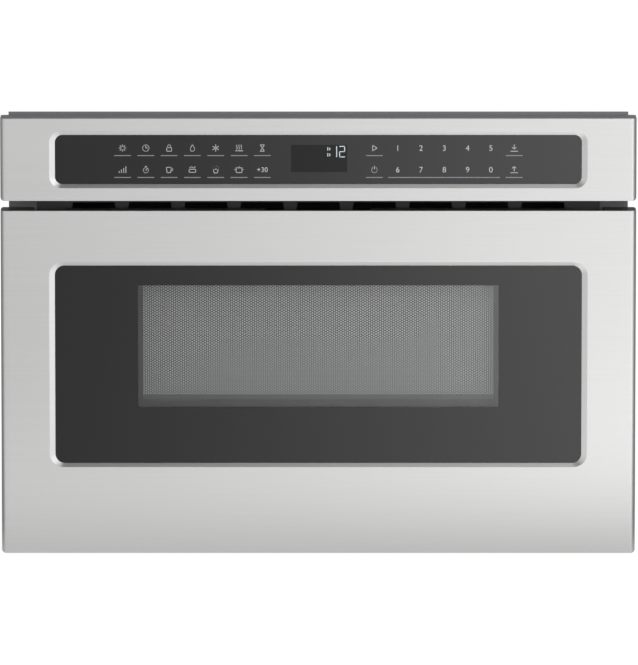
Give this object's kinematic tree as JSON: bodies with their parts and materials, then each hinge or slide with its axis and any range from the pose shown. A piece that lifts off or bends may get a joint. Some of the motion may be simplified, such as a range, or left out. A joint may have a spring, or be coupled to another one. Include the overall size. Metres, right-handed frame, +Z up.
{
  "type": "built-in microwave drawer",
  "caption": "Built-in microwave drawer with a stainless front, a black glass touch panel, a windowed drawer on full-extension slides and a motor-driven rack-and-pinion drive.",
  "frame": {"origin": "centre of the chassis's underside, which rests on the cabinet's shelf", "axes": "+X to the right as seen from the front, +Y to the rear, +Z up; the drawer opens towards -Y"},
  "size_m": [0.6064, 0.594, 0.4219],
  "materials": {
    "stainless": "horizontally brushed",
    "black_glass": "polished, black printed back",
    "clear_glass": "polished",
    "tray_glass": "polished",
    "zinc_steel": "galvanised sheet",
    "screen_steel": "matt black enamel",
    "cavity_enamel": "grey enamel",
    "tub_enamel": "grey enamel",
    "cap_grey": "fine moulded texture",
    "louvre_black": "fine moulded texture",
    "choke_black": "matt",
    "bracket_black": "matt",
    "sensor_film": "film",
    "board_green": "solder mask",
    "display_black": "gloss",
    "rail_zinc": "zinc plated",
    "gear_white": "moulded",
    "rack_black": "moulded",
    "shaft_steel": "ground",
    "motor_zinc": "zinc plated",
    "magnetron_zinc": "plated, aluminium fins",
    "waveguide_zinc": "aluminised sheet",
    "mica_cover": "mica board",
    "stirrer_aluminium": "rolled",
    "transformer_iron": "varnished laminations and copper coil",
    "capacitor_aluminium": "drawn can",
    "shroud_black": "moulded",
    "blade_grey": "moulded",
    "lamp_white": "ceramic-filled",
    "hook_plastic": "moulded",
    "switch_red": "moulded",
    "gland_black": "moulded",
    "screw_steel": "zinc plated"
  },
  "bodies": {
    "chassis": {"base_pan": "zinc_steel", "wrapper_cover": "zinc_steel", "rear_panel": "zinc_steel", "front_frame": "zinc_steel", "oven_cavity": "cavity_enamel", "vent_louvre": "louvre_black", "fascia_skin": "stainless", "fascia_cap": "cap_grey", "control_glass": "black_glass", "touch_sensor": "sensor_film", "fascia_bracket": "bracket_black", "display_module": "display_black", "control_board": "board_green", "waveguide": "waveguide_zinc", "waveguide_cover": "mica_cover", "stirrer_motor": "motor_zinc", "magnetron": "magnetron_zinc", "power_transformer": "transformer_iron", "hv_capacitor": "capacitor_aluminium", "capacitor_clamp": "zinc_steel", "noise_filter": "board_green", "fan_shroud": "shroud_black", "fan_motor": "motor_zinc", "oven_lamp": "lamp_white", "outer_rail_left": "rail_zinc", "outer_rail_right": "rail_zinc", "drive_motor": "motor_zinc", "motor_bracket": "zinc_steel", "shaft_bearings": "gear_white", "interlock_switches": "switch_red", "cord_gland": "gland_black", "chassis_screws": "screw_steel"},
    "drawer": {"door_skin": "stainless", "door_glass": "black_glass", "door_frame": "zinc_steel", "door_screen": "screen_steel", "inner_window": "clear_glass", "choke_cover": "choke_black", "door_cap_left": "cap_grey", "door_cap_right": "cap_grey", "door_top_lip": "cap_grey", "drawer_tub": "tub_enamel", "tub_tray": "tray_glass", "carriage_arm_left": "rail_zinc", "carriage_arm_right": "rail_zinc", "inner_rail_left": "rail_zinc", "inner_rail_right": "rail_zinc", "rack_left": "rack_black", "rack_right": "rack_black", "latch_hooks": "hook_plastic", "drawer_screws": "screw_steel"},
    "mid_rails": {"mid_rail_left": "rail_zinc", "mid_rail_right": "rail_zinc"},
    "drive_train": {"drive_shaft": "shaft_steel", "drive_pinions": "gear_white", "shaft_gear": "gear_white"},
    "motor_gear": {"motor_pinion": "gear_white"},
    "stirrer": {"stirrer_blade": "stirrer_aluminium"},
    "fan": {"fan_blade": "blade_grey"}
  },
  "joints": [
    {"name": "drawer_slide", "type": "slide", "parent": "chassis", "child": "drawer", "axis": [0, -1, 0], "range_m": [0, 0.381]},
    {"name": "mid_rails_slide", "type": "slide", "parent": "chassis", "child": "mid_rails", "axis": [0, -1, 0], "range_m": [0, 0.1905]},
    {"name": "drive_shaft_spin", "type": "hinge", "parent": "chassis", "child": "drive_train", "pos_m": [0, -0.251, 0.0252], "axis": [1, 0, 0], "range_deg": [0, 1213]},
    {"name": "motor_pinion_spin", "type": "hinge", "parent": "chassis", "child": "motor_gear", "pos_m": [0.124, -0.21973, 0.03978], "axis": [1, 0, 0], "range_deg": [-1887, 0]},
    {"name": "stirrer_spin", "type": "hinge", "parent": "chassis", "child": "stirrer", "pos_m": [0, -0.0624, 0.3], "axis": [0, 0, 1], "continuous": true},
    {"name": "fan_spin", "type": "hinge", "parent": "chassis", "child": "fan", "pos_m": [-0.1702, 0.254, 0.0662], "axis": [0, 1, 0], "continuous": true}
  ],
  "couplings": [
    {"joint": "mid_rails_slide", "follows": "drawer_slide", "ratio": 0.5},
    {"joint": "drive_shaft_spin", "follows": "drawer_slide", "rad_per_m": 55.556},
    {"joint": "motor_pinion_spin", "follows": "drawer_slide", "rad_per_m": -86.42}
  ]
}
